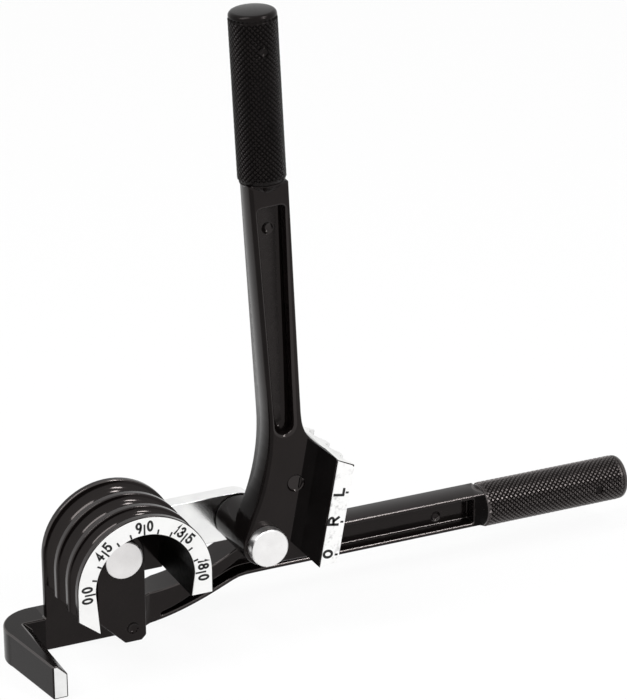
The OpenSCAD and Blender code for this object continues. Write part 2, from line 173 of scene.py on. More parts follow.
def dress(tree, bsdf, cloud, colour, grain, sheen, bump):
    """Let the cloud drive the colour, and the grain the roughness and the bump."""
    links = tree.links
    links.new(cloud.outputs["Fac"], colour.inputs["Fac"])
    links.new(colour.outputs["Color"], bsdf.inputs["Base Color"])
    links.new(grain.outputs["Fac"], sheen.inputs["Fac"])
    links.new(sheen.outputs["Color"], bsdf.inputs["Roughness"])
    links.new(grain.outputs["Fac"], bump.inputs["Height"])
    links.new(bump.outputs["Normal"], bsdf.inputs["Normal"])


WARM, NEUTRAL = (1.0, 0.90, 0.88), (1.0, 1.0, 1.0)


def enamel(name, low, high, rough, gloss=0.25, peel=(0.03, 520.0), tint=WARM,
           cloud_scale=90.0, cloud_at=(0.35, 0.7)):
    """Paint between two clouded colours, with a range of roughness; peel is the bump's strength and scale."""
    mat, tree, bsdf = make_material(name)
    bsdf.inputs["Specular IOR Level"].default_value = gloss
    bsdf.inputs["Specular Tint"].default_value = (*tint, 1)
    strength, scale = peel
    coord = node(tree, "ShaderNodeTexCoord")
    cloud = node(tree, "ShaderNodeTexNoise", Scale=cloud_scale, Detail=4.0, Roughness=0.6)
    grain = node(tree, "ShaderNodeTexNoise", Scale=scale, Detail=3.0, Roughness=0.5)
    bump = node(tree, "ShaderNodeBump", Strength=strength, Distance=0.0002)
    for n in (cloud, grain):
        tree.links.new(coord.outputs["Object"], n.inputs["Vector"])
    dress(tree, bsdf, cloud, ramp(tree, low, high, cloud_at), grain, rough_ramp(tree, rough), bump)
    return mat


def metal(name, low, high, rough, scale, strength=0.2, stretch=(1.0, 1.0, 1.0)):
    """Bare metal with a grain of that scale, drawn out along one axis by stretch."""
    mat, tree, bsdf = make_material(name)
    bsdf.inputs["Metallic"].default_value = 1.0
    coord = node(tree, "ShaderNodeTexCoord")
    place = node(tree, "ShaderNodeMapping", Scale=stretch)
    grain = node(tree, "ShaderNodeTexNoise", Scale=scale, Detail=5.0, Roughness=0.65)
    cloud = node(tree, "ShaderNodeTexNoise", Scale=140.0, Detail=3.0, Roughness=0.5)
    bump = node(tree, "ShaderNodeBump", Strength=strength, Distance=0.00005)
    tree.links.new(coord.outputs["Object"], place.inputs["Vector"])
    tree.links.new(place.outputs["Vector"], grain.inputs["Vector"])
    tree.links.new(coord.outputs["Object"], cloud.inputs["Vector"])
    dress(tree, bsdf, cloud, ramp(tree, low, high), grain, rough_ramp(tree, rough), bump)
    return mat


# the same black paint, in darker, duller copies that paint shade and in glossier, lighter copies that paint
# highlights
BLACK = enamel("black_enamel_paint",
               (0.0036, 0.0026, 0.0025), (0.0060, 0.0045, 0.0043), (0.09, 0.16), 0.20)
RECESS = enamel("black_enamel_in_recess",
                (0.0050, 0.0042, 0.0041), (0.0085, 0.0072, 0.0070), (0.22, 0.36), 0.27, (0.08, 700.0))
# painted shade: a darker, duller copy of the paint for the hook, the lever's front edge, the hub and the
# grips' cross pins
HALF_SHADE = enamel("black_enamel_half_shade",
              (0.0030, 0.0024, 0.0023), (0.0050, 0.0040, 0.0039), (0.14, 0.22), 0.12)
# painted shade: the darkest, dullest copy, for the shoe's slopes, the inside of the arch and the block in
# front of the lower grip
SHADE = enamel("black_enamel_painted_shade",
               (0.0012, 0.0010, 0.0010), (0.0024, 0.0020, 0.0020), (0.38, 0.52), 0.05, (0.05, 600.0))
# painted highlight: a lighter, much glossier copy, for a bright line along the fixed handle's upper edges
HIGHLIGHT_LINE = enamel("black_enamel_painted_highlight_line",
              (0.0050, 0.0042, 0.0041), (0.0090, 0.0078, 0.0076), (0.10, 0.18), 0.80)
# painted glints: a glossier copy, for the form's lips and the lever's slot rim, ejector ring and dimple
LIP_GLINT = enamel("black_enamel_painted_glint",
             (0.0036, 0.0028, 0.0027), (0.0065, 0.0050, 0.0048), (0.09, 0.16), 0.38)
# painted highlights: a glossier copy, for bright streaks in the form's grooves
GROOVE_GLINT = enamel("black_enamel_painted_groove_streaks",
                (0.0030, 0.0024, 0.0023), (0.0055, 0.0044, 0.0042), (0.08, 0.14), 0.28)
# painted shade: ever duller copies, that darken the lever's left flank in steps towards the hub
FLANK_SHADES = [enamel("black_enamel_flank_%d" % n,
                (0.0030, 0.0024, 0.0023), (0.0050, 0.0040, 0.0039), (0.12, 0.20), gloss)
         for n, gloss in enumerate((0.17, 0.145, 0.12, 0.10, 0.08, 0.065, 0.05, 0.04))]
# one knurl paint, darker on the upper grip; its lighter, glossier copy paints highlights on the lower grip
KNURL = enamel("knurled_black_paint",
               (0.0026, 0.0021, 0.0021), (0.0050, 0.0041, 0.0040), (0.16, 0.26), 0.10, (0.06, 1400.0))
KNURL_LIT = enamel("knurled_black_paint_painted_lit",
                   (0.0034, 0.0028, 0.0028), (0.0065, 0.0054, 0.0053), (0.24, 0.34), 0.70, (0.06, 1400.0))
LINK = metal("polished_steel_bar", (0.80, 0.80, 0.80), (0.88, 0.88, 0.87), (0.10, 0.18), 700.0, 0.15,
             stretch=(1.0, 1.0, 14.0))
PIN = metal("nickel_plate", (0.70, 0.685, 0.68), (0.80, 0.785, 0.78), (0.26, 0.36), 1500.0)
# painted highlight: a lighter copy of the nickel plate, for the handle pin's head
PIN_LIT = metal("nickel_plate_painted_lit", (0.80, 0.79, 0.785), (0.90, 0.89, 0.885), (0.26, 0.36), 1500.0)
DARK = metal("oiled_spring_steel", (0.12, 0.12, 0.125), (0.20, 0.20, 0.205), (0.28, 0.40), 1200.0)
BARE = metal("ground_bare_metal", (0.74, 0.74, 0.735), (0.90, 0.90, 0.89), (0.30, 0.46), 900.0, 0.35,
             stretch=(6.0, 1.0, 1.0))
WHITE = enamel("scale_white",
               (0.83, 0.828, 0.82), (0.90, 0.897, 0.89), (0.42, 0.58), 0.5, (0.06, 1100.0), NEUTRAL)
WORN = enamel("label_white_worn",
              (0.60, 0.595, 0.59), (0.90, 0.897, 0.89), (0.42, 0.58), 0.5, (0.12, 900.0), NEUTRAL,
              cloud_scale=420.0, cloud_at=(0.30, 0.46))
INK = enamel("scale_ink",
             (0.008, 0.008, 0.008), (0.016, 0.016, 0.016), (0.4, 0.55), 0.25, (0.05, 1600.0), NEUTRAL)

slot_material = {"black_enamel": BLACK, "knurled_black": KNURL, "polished_steel": LINK,
                 "plated_steel": PIN, "spring_steel": DARK, "printed_label": WHITE}
slot_of = {part["node"]: part["material_slot"] for part in frame["record"]["subparts"]}
body_of = {n: b for b, ns in frame["record"]["behaviour"]["bodies"].items() for n in ns}
for name, slot in slot_of.items():
    mesh = nodes[name].data
    mesh.materials.clear()
    mesh.materials.append(slot_material[slot])
nodes["shoe_label"].data.materials[0] = WORN

# the finishes of each casting, in the order of its material slots
CASTING_FINISHES = (BLACK, BARE, SHADE, HALF_SHADE, HIGHLIGHT_LINE)
FORM_FINISHES = (BLACK, LIP_GLINT, GROOVE_GLINT, SHADE)
LEVER_FINISHES = (BLACK, BARE, RECESS, SHADE, HALF_SHADE, LIP_GLINT, *FLANK_SHADES)
lever_finish = LEVER_FINISHES.index


# ---------------------------------------------------------------- CAD pieces with rounded edges

WELD = 0.002 * MM
FLAT, SPARE, SHARP = math.radians(0.4), math.radians(0.2), math.radians(28.0)
STRAY = 0.45
CROWN_HALF, LEVER_SWELL, BEAM_SWELL = 7.0, 0.45, 0.25


def rounded(name, width, cuts=(), finishes=(), pick=None, edge_pick=None, crown=None):
    """A copy of a CAD piece with rounded edges, cut across x where its finish changes.

    pick() gives a face its place in the list of finishes. edge_pick() does so for the faces of the
    rounding, which start out with the last finish.
    """
    bm = bmesh.new()
    bm.from_mesh(nodes[name].data)
    bmesh.ops.remove_doubles(bm, verts=bm.verts, dist=WELD)
    bmesh.ops.dissolve_limit(bm, angle_limit=FLAT, verts=bm.verts, edges=bm.edges)
    across = Vector((1.0, 0.0, 0.0))
    for x in cuts:
        geom = bm.verts[:] + bm.edges[:] + bm.faces[:]
        bmesh.ops.bisect_plane(bm, geom=geom, dist=TINY, plane_co=across * x * MM, plane_no=across)
    bm.normal_update()
    if cuts:
        kept = set(e for e in bm.edges
                   if any(all(abs(v.co.x - x * MM) < TINY for v in e.verts) for x in cuts))
        spare = [e for e in bm.edges
                 if e not in kept and len(e.link_faces) == 2 and e.calc_face_angle(1) < SPARE]
        bmesh.ops.dissolve_edges(bm, edges=spare, use_verts=False, use_face_split=False)
        bm.normal_update()
    layer = bm.edges.layers.float.new("bevel_weight_edge")
    for edge in bm.edges:
        if len(edge.link_faces) == 2 and edge.calc_face_angle(0) > SHARP:
            edge[layer] = 1.0
    if pick:
        for face in bm.faces:
            face.material_index = pick(face)
    obj = new_object(name + "_cast", bm, 180)
    for material in finishes or (slot_material[slot_of[name]],):
        obj.data.materials.append(material)
    last = len(finishes) - 1
    mod = obj.modifiers.new("edge", "BEVEL")
    mod.width = width * MM
    mod.segments = 3
    mod.limit_method = "WEIGHT"
    mod.use_clamp_overlap = False
    mod.miter_outer = "MITER_ARC"
    mod.material = last if edge_pick else -1
    settle(obj)
    if edge_pick:
        for face in obj.data.polygons:
            if face.material_index == last:
                face.material_index = edge_pick(face)
    tame(obj.data, nodes[name].data, STRAY * width * MM)
    fair_normals(obj, crown)
    put(obj, body_of[name], slot_of[name], None, name)


def tame(mesh, cad_mesh, limit):
    """Put back the few corner points that the bevel threw off the CAD surface."""
    source = bmesh.new()
    source.from_mesh(cad_mesh)
    tree = BVHTree.FromBMesh(source)
    for v in mesh.vertices:
        spot, normal, index, far = tree.find_nearest(v.co)
        if far > limit:
            v.co = spot
    source.free()


def fair_normals(obj, crown=None):
    """Keep large faces flat in shading; crown() gives the slight swell that a cast side has."""
    mod = obj.modifiers.new("fair", "WEIGHTED_NORMAL")
    mod.keep_sharp = True
    settle(obj)
    if crown:
        mesh = obj.data
        lean = {}
        for face in mesh.polygons:
            for i in face.vertices:
                tilt = crown(face, mesh.vertices[i].co)
                if tilt:
                    lean[i] = tilt
        normals = [Vector(n.vector) for n in mesh.corner_normals]
        for loop in mesh.loops:
            if loop.vertex_index in lean:
                normals[loop.index] = (normals[loop.index] + lean[loop.vertex_index]).normalized()
        mesh.normals_split_custom_set(normals)


def casting_finish(face):
    """The hook's ground tip, painted shade on the rest of the hook, and darker painted shade on the end of
    the beam in front of the grip.
    """
    spot, facing = face.calc_center_median() / MM, face.normal
    finish = BLACK
    if facing.y < -0.99 and spot.y < HOOK_TIP_Y:
        finish = BARE
    elif spot.x < HOOK_FROM:
        finish = HALF_SHADE
    elif spot.x > BLOCK_FROM and facing.y < -0.2:
        finish = SHADE
    return CASTING_FINISHES.index(finish)


def casting_highlight_line(face):
    """A painted highlight line along the upper edges, a glossier, lighter copy of the paint on their
    rounding; it stops at the block in front of the grip, whose rounding takes painted shade.
    """
    finish = HIGHLIGHT_LINE
    if face.center.x > HIGHLIGHT_END * MM and face.center.z < HIGHLIGHT_LOW * MM:
        finish = SHADE
    elif face.normal.z < 0.15:
        finish = BLACK
    return CASTING_FINISHES.index(finish)


def lever_crown(face, co):
    """The swell of the lever's left flank, which fades out towards the hub."""
    rise = co.z / MM - FLANK_LOW
    facing = face.normal
    if facing.x < -0.75 and abs(facing.y) < 0.2 and face.area > 1.5 * MM * MM and rise > 0:
        return Vector((0, (co.y / MM - BODY_MID) / CROWN_HALF * LEVER_SWELL * min(1.0, rise / FLANK_FADE), 0))
    return None


def beam_crown(face, co):
    """The swell of the beam's top."""
    if face.normal.z > 0.9 and face.area > 40 * MM * MM and co.x > BEAM_FROM * MM:
        return Vector((0, (co.y / MM - BEAM_MID_Y) / CROWN_HALF * BEAM_SWELL, 0))
    return None


rounded("fixed_handle", 0.5, (MARK_X, 0.0, HOOK_FROM, BLOCK_FROM), CASTING_FINISHES,
        casting_finish, casting_highlight_line, beam_crown)
rounded("link", 0.35)
rounded("form_pin", 0.25)
# the handle pin takes a lighter copy of the nickel plate: painted highlight
rounded("handle_pin", 0.25, finishes=(PIN_LIT,))


# ---------------------------------------------------------------- shapes, in millimetres

# a quarter turn, in shares of its radius
QUARTER_TURN = ((0.07, 0.62), (0.29, 0.29), (0.62, 0.07))


def quarter(r, count=4):
    """A rounded edge: pairs of the distances from its two faces."""
    turns = [math.pi / 2 * i / count for i in range(count + 1)]
    return [(r * (1 - math.sin(t)), r * (1 - math.cos(t))) for t in turns]


def ring(bm, count, r, z):
    """A round of points about z."""
    step = 2 * math.pi / count
    return [bm.verts.new((*polar(r, i * step), z)) for i in range(count)]


def bridge(bm, low, high):
    """The faces between two closed rows of as many points."""
    count = len(low)
    return [bm.faces.new((low[i], low[i + 1 - count], high[i + 1 - count], high[i])) for i in range(count)]


def join(bm, part):
    """Add one bmesh to another."""
    mesh = bpy.data.meshes.new("part")
    part.to_mesh(mesh)
    part.free()
    bm.from_mesh(mesh)
    bpy.data.meshes.remove(mesh)


def thicken(bm, move):
    """Draw the flat faces out along y; move() gives a point of the new side its y."""
    extra = bmesh.ops.extrude_face_region(bm, geom=bm.faces[:])
    for v in extra["geom"]:
        if isinstance(v, bmesh.types.BMVert):
            v.co.y = move(v.co.y)
    bmesh.ops.recalc_face_normals(bm, faces=bm.faces)


def bevel(bm, edges, width, segments, material=-1):
    bmesh.ops.bevel(bm, geom=edges, offset=width, segments=segments, profile=0.5, affect="EDGES",
                    clamp_overlap=True, material=material)


def prism(points, y0, y1, edge):
    """An outline in x and z about the form's pin, with depth from y0 to y1 and rounded edges."""
    bm = bmesh.new()
    bm.faces.new([bm.verts.new((x, y0, AXIS_H + z)) for x, z in points])
    thicken(bm, lambda y: y1)
    bevel(bm, [e for e in bm.edges if e.calc_face_angle(0) > math.radians(25)], edge, 3)
    return bm


def half_round(r, count):
    return [polar(r, math.pi * i / count) for i in range(count + 1)]


def carve(obj, front, r, depth, over=1.0):
    """A round hole along y, from a point on the front face."""
    tool = bmesh.new()
    middle = Matrix.Translation(front + Vector((0, depth / 2 - over, 0)))
    bmesh.ops.create_cone(tool, cap_ends=True, segments=40, radius1=r, radius2=r, depth=depth + 2 * over,
                          matrix=middle @ ALONG_Y)
    cut_away(obj, tool)


def dish(obj, front, r, depth):
    """A shallow round hollow in a front face."""
    ball = (r * r + depth * depth) / (2 * depth)
    tool = bmesh.new()
    middle = Matrix.Translation(front - Vector((0, ball - depth, 0)))
    bmesh.ops.create_uvsphere(tool, u_segments=64, v_segments=48, radius=ball, matrix=middle @ ALONG_Y)
    cut_away(obj, tool)


def cut_away(obj, tool):
    """Take the tool's shape out of the object."""
    cutter = new_object("tool", tool)
    cut = obj.modifiers.new("hole", "BOOLEAN")
    cut.operation = "DIFFERENCE"
    cut.solver = "EXACT"
    cut.object = cutter
    settle(obj)
    bpy.data.objects.remove(cutter)


def turned(profile, place, count=64):
    """A closed solid about z, from pairs of radius and height between two points on the axis."""
    bm = bmesh.new()
    foot, head = bm.verts.new((0, 0, profile[0][1])), bm.verts.new((0, 0, profile[-1][1]))
    loops = [ring(bm, count, r, z) for r, z in profile[1:-1]]
    for low, high in zip(loops, loops[1:]):
        bridge(bm, low, high)
    for i in range(count):
        j = (i + 1) % count
        bm.faces.new((foot, loops[0][j], loops[0][i]))
        bm.faces.new((head, loops[-1][i], loops[-1][j]))
    bmesh.ops.recalc_face_normals(bm, faces=bm.faces)
    bm.transform(place)
    return bm


def cast(name, bm, finishes, crown, body, replaced):
    """A casting from a bmesh in millimetres."""
    bmesh.ops.scale(bm, vec=(MM, MM, MM), verts=bm.verts)
    obj = new_object(name, bm, 50)
    for material in finishes:
        obj.data.materials.append(material)
    fair_normals(obj, crown)
    put(obj, body, "black_enamel", None, replaced)


# ---------------------------------------------------------------- the bending form

def groove_profile(steps=16):
    """The form's rim from back to front: pairs of y and depth below the rim, with rounded lips."""
    lip = LIP_R
    points = []
    for n, (middle, r) in enumerate(GROOVES):
        first = math.asin(lip / r)
        for i in range(steps + 1):
            t = first + (math.pi - 2 * first) * i / steps
            points.append((-middle + r * math.cos(t), r * math.sin(t)))
        front = -middle - r
        points += [(front - lip * a, lip * b) for a, b in (*QUARTER_TURN, (1.0, 0.0))]
        end = -GROOVES[n + 1][0] + GROOVES[n + 1][1] if n + 1 < len(GROOVES) else -FORM_D
        points += [(end + lip * a, lip * b) for a, b in ((1.0, 0.0), *reversed(QUARTER_TURN))]
    return points + [(-FORM_D, lip)]


def form_stations(steps=60):
    """Outer and inner points down the left leg, along the half round and down the right leg."""
    low_left = ((-FORM_R, -LEG_OUT), (-ARCH_R + LEG_LEAN, -LEG_IN))
    low_right = ((FORM_R, -LEG_RIGHT), (ARCH_R - LEG_LEAN, -LEG_RIGHT))
    turns = [math.pi * (1 - i / steps) for i in range(steps + 1)]
    arch = [(polar(FORM_R, t), polar(ARCH_R, t)) for t in turns]

    def up_leg(share):
        return tuple(tuple(a + (b - a) * share for a, b in zip(p, q)) for p, q in zip(low_left, arch[0]))

    return [low_left, up_leg(0.35), up_leg(0.7)] + arch + [low_right]


def rim_finish(profile, i, j):
    """Painted shade inside the arch, and painted highlights on the lips and in the grooves, each a copy of
    the paint that is duller or glossier.
    """
    if i == len(profile):
        return SHADE
    if max(i, j) < len(profile):
        shallow, deep = sorted((profile[i][1], profile[j][1]))
        if deep < LIP_R + 0.01:
            return LIP_GLINT
        if shallow > FLOOR_D:
            return GROOVE_GLINT
    return BLACK


def form_rim():
    """The grooved rim, swept along the form's stations."""
    profile = groove_profile()
    bm = bmesh.new()
    rows = []
    for outer, inner in form_stations():
        a, b = Vector(outer), Vector(inner)
        thick = (b - a).length
        row = [a + (b - a) * (d / thick) for y, d in profile] + [b, b]
        ys = [y for y, d in profile] + [-FORM_D, -RIM_T]
        rows.append([bm.verts.new((p.x, y, AXIS_H + p.y)) for p, y in zip(row, ys)])
    for one, two in zip(rows, rows[1:]):
        for i in range(len(one)):
            j = (i + 1) % len(one)
            face = bm.faces.new((one[i], one[j], two[j], two[i]))
            face.material_index = FORM_FINISHES.index(rim_finish(profile, i, j))
    bm.faces.new(rows[0])
    bm.faces.new(rows[-1][::-1])
    bmesh.ops.recalc_face_normals(bm, faces=bm.faces)
    ends = set(rows[0]) | set(rows[-1])
    inside = set(v for row in rows for v in row[-2:])
    bevel(bm, [e for e in bm.edges if e.calc_face_angle(0) > math.radians(40)
               and (set(e.verts) <= ends or set(e.verts) <= inside)], 0.3, 2)
    return bm


def form_body():
    """The bending form: swept rim with its three grooves, the web, and the post for the pin."""
    half = POST_W / 2
    web = half_round(WEB_R, 36) + [(-WEB_R, -WEB_LOW), (WEB_R, -WEB_LOW)]
    post = half_round(half, 24) + [(-half, POST_CUT - POST_LOW), (POST_CUT - half, -POST_LOW),
                                   (half - POST_CORNER, -POST_LOW), (half, POST_CORNER - POST_LOW)]
    column = new_object("post", prism(post, -POST_FRONT, -RIM_T, 0.45), 180)
    carve(column, Vector((0.0, -POST_FRONT, AXIS_H)), PIN_BORE, POST_FRONT)
    dish(column, Vector((POST_MARK[0], -POST_FRONT, AXIS_H + POST_MARK[1])), 2.1, 1.0)
    bm = form_rim()
    join(bm, prism(web, -RIM_T - WEB_T, -RIM_T, 0.3))
    bm.from_mesh(column.data)
    bpy.data.objects.remove(column)
    cast("bending_form_cast", bm, FORM_FINISHES, None, "base", "bending_form")


form_body()


# ---------------------------------------------------------------- the lever

def at_pin(p, y):
    """A point of the lever, from its outline in x and z about the pin."""
    return Vector((LINK_LEN + p.x, y, AXIS_H + p.y))


PIN_AXIS = Vector((0, 0))


def curve_through(points, steps=5, straight=12.0):
    """A smooth line through the points, open at both ends; long spans stay straight."""
    pts = [Vector(p) for p in points]
    line = []
    for i in range(len(pts) - 1):
        a, b, c, d = pts[max(i - 1, 0)], pts[i], pts[i + 1], pts[min(i + 2, len(pts) - 1)]
        reach = (c - b).length
        count = steps if reach < straight else 1
        m0 = (c - a).normalized() * reach
        m1 = (d - b).normalized() * reach
        for n in range(count):
            t = n / count
            line.append(b * (2 * t ** 3 - 3 * t ** 2 + 1) + m0 * (t ** 3 - 2 * t ** 2 + t)
                        + c * (3 * t ** 2 - 2 * t ** 3) + m1 * (t ** 3 - t ** 2))
    return line + [pts[-1]]


def inward(points):
    """For each point of a closed outline, the step to its left that insets both its sides by one."""
    steps = []
    for i, p in enumerate(points):
        a = (p - points[i - 1]).normalized()
        b = (points[(i + 1) % len(points)] - p).normalized()
        lean = (a + b).normalized()
        steps.append(Vector((-lean.y, lean.x)) / max(0.5, lean.dot(a)))
    return steps


def lever_outline():
    """The lever seen from the front, against the clock; with the edge rounding at each point."""
    left = curve_through([(-4.5, 127.5), (-1.4, 86.95), (0.86, 57.4), (1.6, 46.9), (1.8, 41), (1.5, 34),
                          (0.5, 27), (-1, 20.6), (-3, 14.6), (-5.2, 9.4), (-HUB_R * 0.93, HUB_R * 0.36)])
    hub = [Vector(polar(HUB_R, math.radians(t))) for t in range(166, 271, 8)]
    foot = [Vector(q) for q in ((17.2, -8.2), (18.9, -4.6), (24.2, 26), (22.4, 30.4))]
    right = curve_through([foot[-1], (17.4, 35.3), (15.4, 38), (14.3, 41), (13.8, 44.6), (13.6, 48),
                           (13.15, 57.4), (11.75, 87.5), (9.9, 127.5)])[1:]
    edge = [1.3] * (len(left) - 4) + [1.2, 1.1, 0.9, 0.7]
    edge += [0.6] * (len(hub) + len(foot)) + [0.7] * len(right)
    return left + hub + foot + right, edge


def rings(bm, points, table):
    """Rows of points from pairs of y and inset for each point of an outline."""
    steps = inward(points)
    return [[bm.verts.new(at_pin(p + n * inset, y)) for p, n, (y, inset) in zip(points, steps, pairs)]
            for pairs in zip(*table)]


def fill_between(bm, *loops):
    """A flat face inside the first loop and outside the others."""
    edges = []
    for loop in loops:
        for i, v in enumerate(loop):
            edges.append(bm.edges.get((v, loop[i - 1])) or bm.edges.new((v, loop[i - 1])))
    made = bmesh.ops.triangle_fill(bm, edges=edges, use_beauty=True)
    return [g for g in made["geom"] if isinstance(g, bmesh.types.BMFace)]


def spun(bm, centre, profile, y, count=40):
    """A round hollow in a face at y, from pairs of radius and depth, painted with a glint by a glossier copy
    of the paint; gives back its rim.
    """
    turns = [2 * math.pi * i / count for i in range(count)]
    rows = [[bm.verts.new(at_pin(centre + Vector(polar(r, t)), y + deep)) for t in turns]
            for r, deep in profile]
    faces = [face for low, high in zip(rows, rows[1:]) for face in bridge(bm, low, high)]
    for face in faces + [bm.faces.new(rows[-1])]:
        face.material_index = lever_finish(LIP_GLINT)
    return rows[0]


def plate_skin(bm):
    """The plate's sides, from a rounded back edge to a rounded front edge; gives back its rows."""
    points, edge = lever_outline()
    back_r = 0.6
    table = []
    for p, r in zip(points, edge):
        back = BODY_BACK - TAPER * max(0.0, p.y - TAPER_FROM) / TAPER_LEN
        swell = 0.22 * r
        rows = [(back, back_r), (back - 0.3 * back_r, 0.3 * back_r), (back - back_r, 0.0)]
        rows.append(((back - back_r + BODY_FRONT + r) / 2, swell * 0.3))
        rows += [(BODY_FRONT + dy, swell + inset) for dy, inset in quarter(r)]
        table.append(rows)
    skin = rings(bm, points, table)
    for row, (low, high) in enumerate(zip(skin, skin[1:])):
        for face, r in zip(bridge(bm, low, high), edge):
            spot = face.calc_center_median()
            on_side, on_front_edge = row in (2, 3), row > 4
            # painted shade: the left flank is painted ever darker in steps below a height
            if on_side and spot.x < LINK_LEN + 2 and spot.z < FLANK_SHADE_TOP:
                level = min(len(FLANK_SHADES) - 1, int((FLANK_SHADE_TOP - spot.z) / FLANK_SHADE_STEP))
                face.material_index = lever_finish(FLANK_SHADES[level])
            # painted shade: the rounding of the front edge takes a darker, duller copy of the paint
            elif on_front_edge and r > 0.8:
                face.material_index = lever_finish(HALF_SHADE)
    return skin


def slot_well(bm, floor_y):
    """The slot's walls, with a soft rim and floor edge, softer at its low end; gives back its rows."""
    tilt = Matrix.Rotation(math.radians(SLOT_TILT), 2)
    outline = [Vector(polar(SLOT_R, math.radians(t))) for t in range(180, 361, 12)]
    half = SLOT_R * 1.5
    for x, start in ((half - SLOT_CORNER, 0), (SLOT_CORNER - half, 90)):
        centre = Vector((x, SLOT_LEN - SLOT_CORNER))
        outline += [centre + Vector(polar(SLOT_CORNER, math.radians(start + t))) for t in range(0, 91, 18)]
    table = []
    for q in outline:
        f, e = (2.2, 1.1) if q.y < 0.5 else (1.1, 0.6)
        rows = [(BODY_FRONT + dy, -inset) for inset, dy in quarter(e)]
        rows += [(floor_y - f, 0.0)] + [(floor_y - b * f, a * f) for a, b in QUARTER_TURN] + [(floor_y, f)]
        table.append(rows)
    well = rings(bm, [tilt @ q + SLOT_FOOT for q in outline], table)
    for row, (low, high) in enumerate(zip(well, well[1:])):
        for face in bridge(bm, low, high):
            # the rim's rounding takes a glossier copy of the paint: a painted glint
            face.material_index = lever_finish(LIP_GLINT if row < 4 else BLACK)
    return well


def lever_plate():
    """The lever's cast plate, with rounded sides and the slot in its front."""
    bm = bmesh.new()
    floor_y = BODY_FRONT + SLOT_D
    skin, well = plate_skin(bm), slot_well(bm, floor_y)
    mark = spun(bm, EJECTOR, ((EJECTOR_R, 0.0), (2.95, 0.18), (2.7, 0.62), (2.35, 0.75)), BODY_FRONT)
    dent = spun(bm, DIMPLE, ((2.15, 0.0), (2.0, 0.12), (1.6, 0.5), (1.05, 0.8), (0.5, 0.92)), floor_y)
    fill_between(bm, skin[-1], well[0], mark)
    for face in fill_between(bm, well[-1], dent):
        face.material_index = lever_finish(RECESS)
    fill_between(bm, skin[0])
    bmesh.ops.recalc_face_normals(bm, faces=bm.faces)
    obj = new_object("plate", bm, 180)
    carve(obj, at_pin(PIN_AXIS, BODY_FRONT), PIN_BORE, -BODY_BACK)
    return obj


def in_shoe(x, y, z):
    """A point of the leaning shoe."""
    lean = math.radians(SHOE_LEAN)
    p = Vector((x * math.cos(lean) + z * math.sin(lean), z * math.cos(lean) - x * math.sin(lean)))
    return at_pin(p, y)


def loft(outline, low, high):
    """A solid of the shoe, with its outline in x and y, between the two sloping ends low(x) and high(x)."""
    bm = bmesh.new()
    bottom = [bm.verts.new(in_shoe(x, y, low(x))) for x, y in outline]
    top = [bm.verts.new(in_shoe(x, y, high(x))) for x, y in outline]
    bridge(bm, bottom, top)
    caps = [bm.faces.new(bottom), bm.faces.new(top)]
    bmesh.ops.recalc_face_normals(bm, faces=bm.faces)
    return bm, caps


def shoe_outline(lip=0.35, nick=0.1, steps=12):
    """The shoe across its length, with three grooves in its face and rounded lips."""
    face, back = SHOE_FACE, SHOE_BACK
    edge = [(back, -FORM_D + lip), (back + nick, -FORM_D + nick), (back + lip, -FORM_D)]
    edge += [(face - lip, -FORM_D), (face - nick, -FORM_D + nick), (face, -FORM_D + lip)]
    for middle, r in reversed(GROOVES):
        first = math.asin((SHOE_GAP + lip) / r)
        turns = [first + (math.pi - 2 * first) * i / steps for i in range(steps + 1)]
        groove = [(face + SHOE_GAP - r * math.sin(t), -middle - r * math.cos(t)) for t in turns]
        start, end = groove[0][1], groove[-1][1]
        edge += [(face, start - lip), (face - nick, start - nick)] + groove
        edge += [(face - nick, end + nick), (face, end + lip)]
    return edge + [(face, SHOE_REAR - lip), (face - lip, SHOE_REAR), (back + lip, SHOE_REAR),
                   (back, SHOE_REAR - lip)]


def shoe_block():
    """The shoe: a block with three straight grooves; its face and upper end are ground bare."""
    edge = shoe_outline()
    bm, caps = loft(edge, lambda x: SHOE_LOW + SHOE_DRAFT * (x - SHOE_BACK) / SHOE_T,
                    lambda x: SHOE_HIGH - SHOE_DRAFT * (x - SHOE_BACK) / SHOE_T)
    bare = lever_finish(BARE)
    caps[1].material_index = bare
    for (x, y), flank in zip(edge, [f for f in bm.faces if f not in caps]):
        if x > SHOE_BACK + 1.0 and SHOE_REAR - 0.05 > y > -FORM_D + 0.05:
            flank.material_index = bare
    for cap, finish in zip(caps, (-1, bare)):
        bevel(bm, cap.edges[:], 0.22, 2, finish)
    for face in bm.faces:
        if face.calc_center_median().y < -FORM_D + 0.3:
            face.material_index = lever_finish(BLACK)
    return bm


def shoe_ramp():
    """The two slopes from the lever's front to the shoe's front, with a soft edge between them."""
    back, rear = SHOE_BACK, BODY_FRONT + 0.8
    foot = Vector((back - RAMP_W, BODY_FRONT))
    knee = Vector((back - 0.56 * RAMP_W, BODY_FRONT - 0.21 * (BODY_FRONT + FORM_D)))
    head = Vector((back, -FORM_D + RAMP_SUNK))
    down, rise = (foot - knee).normalized() * RAMP_KNEE, (head - knee).normalized() * RAMP_KNEE
    soft = [knee + down * (1 - t) ** 2 + rise * t ** 2 for t in (0.0, 0.25, 0.5, 0.75, 1.0)]
    sunk = back + RAMP_SUNK
    edge = [foot] + soft + [head, Vector((sunk, head.y)), Vector((sunk, rear)), Vector((foot.x, rear))]
    bm, caps = loft([tuple(q) for q in edge], lambda x: SHOE_LOW + (back - x) * RAMP_LOW_SLOPE,
                    lambda x: RAMP_HIGH + (back + 0.5 - x) * RAMP_HIGH_SLOPE)
    # painted shade: the slopes take the darkest, dullest copy of the paint
    for face in bm.faces:
        face.material_index = lever_finish(SHADE)
    obj = new_object("ramp", bm, 180)
    carve(obj, at_pin(EJECTOR, -FORM_D), EJECTOR_R, FORM_D + BODY_FRONT + 0.4)
    return obj


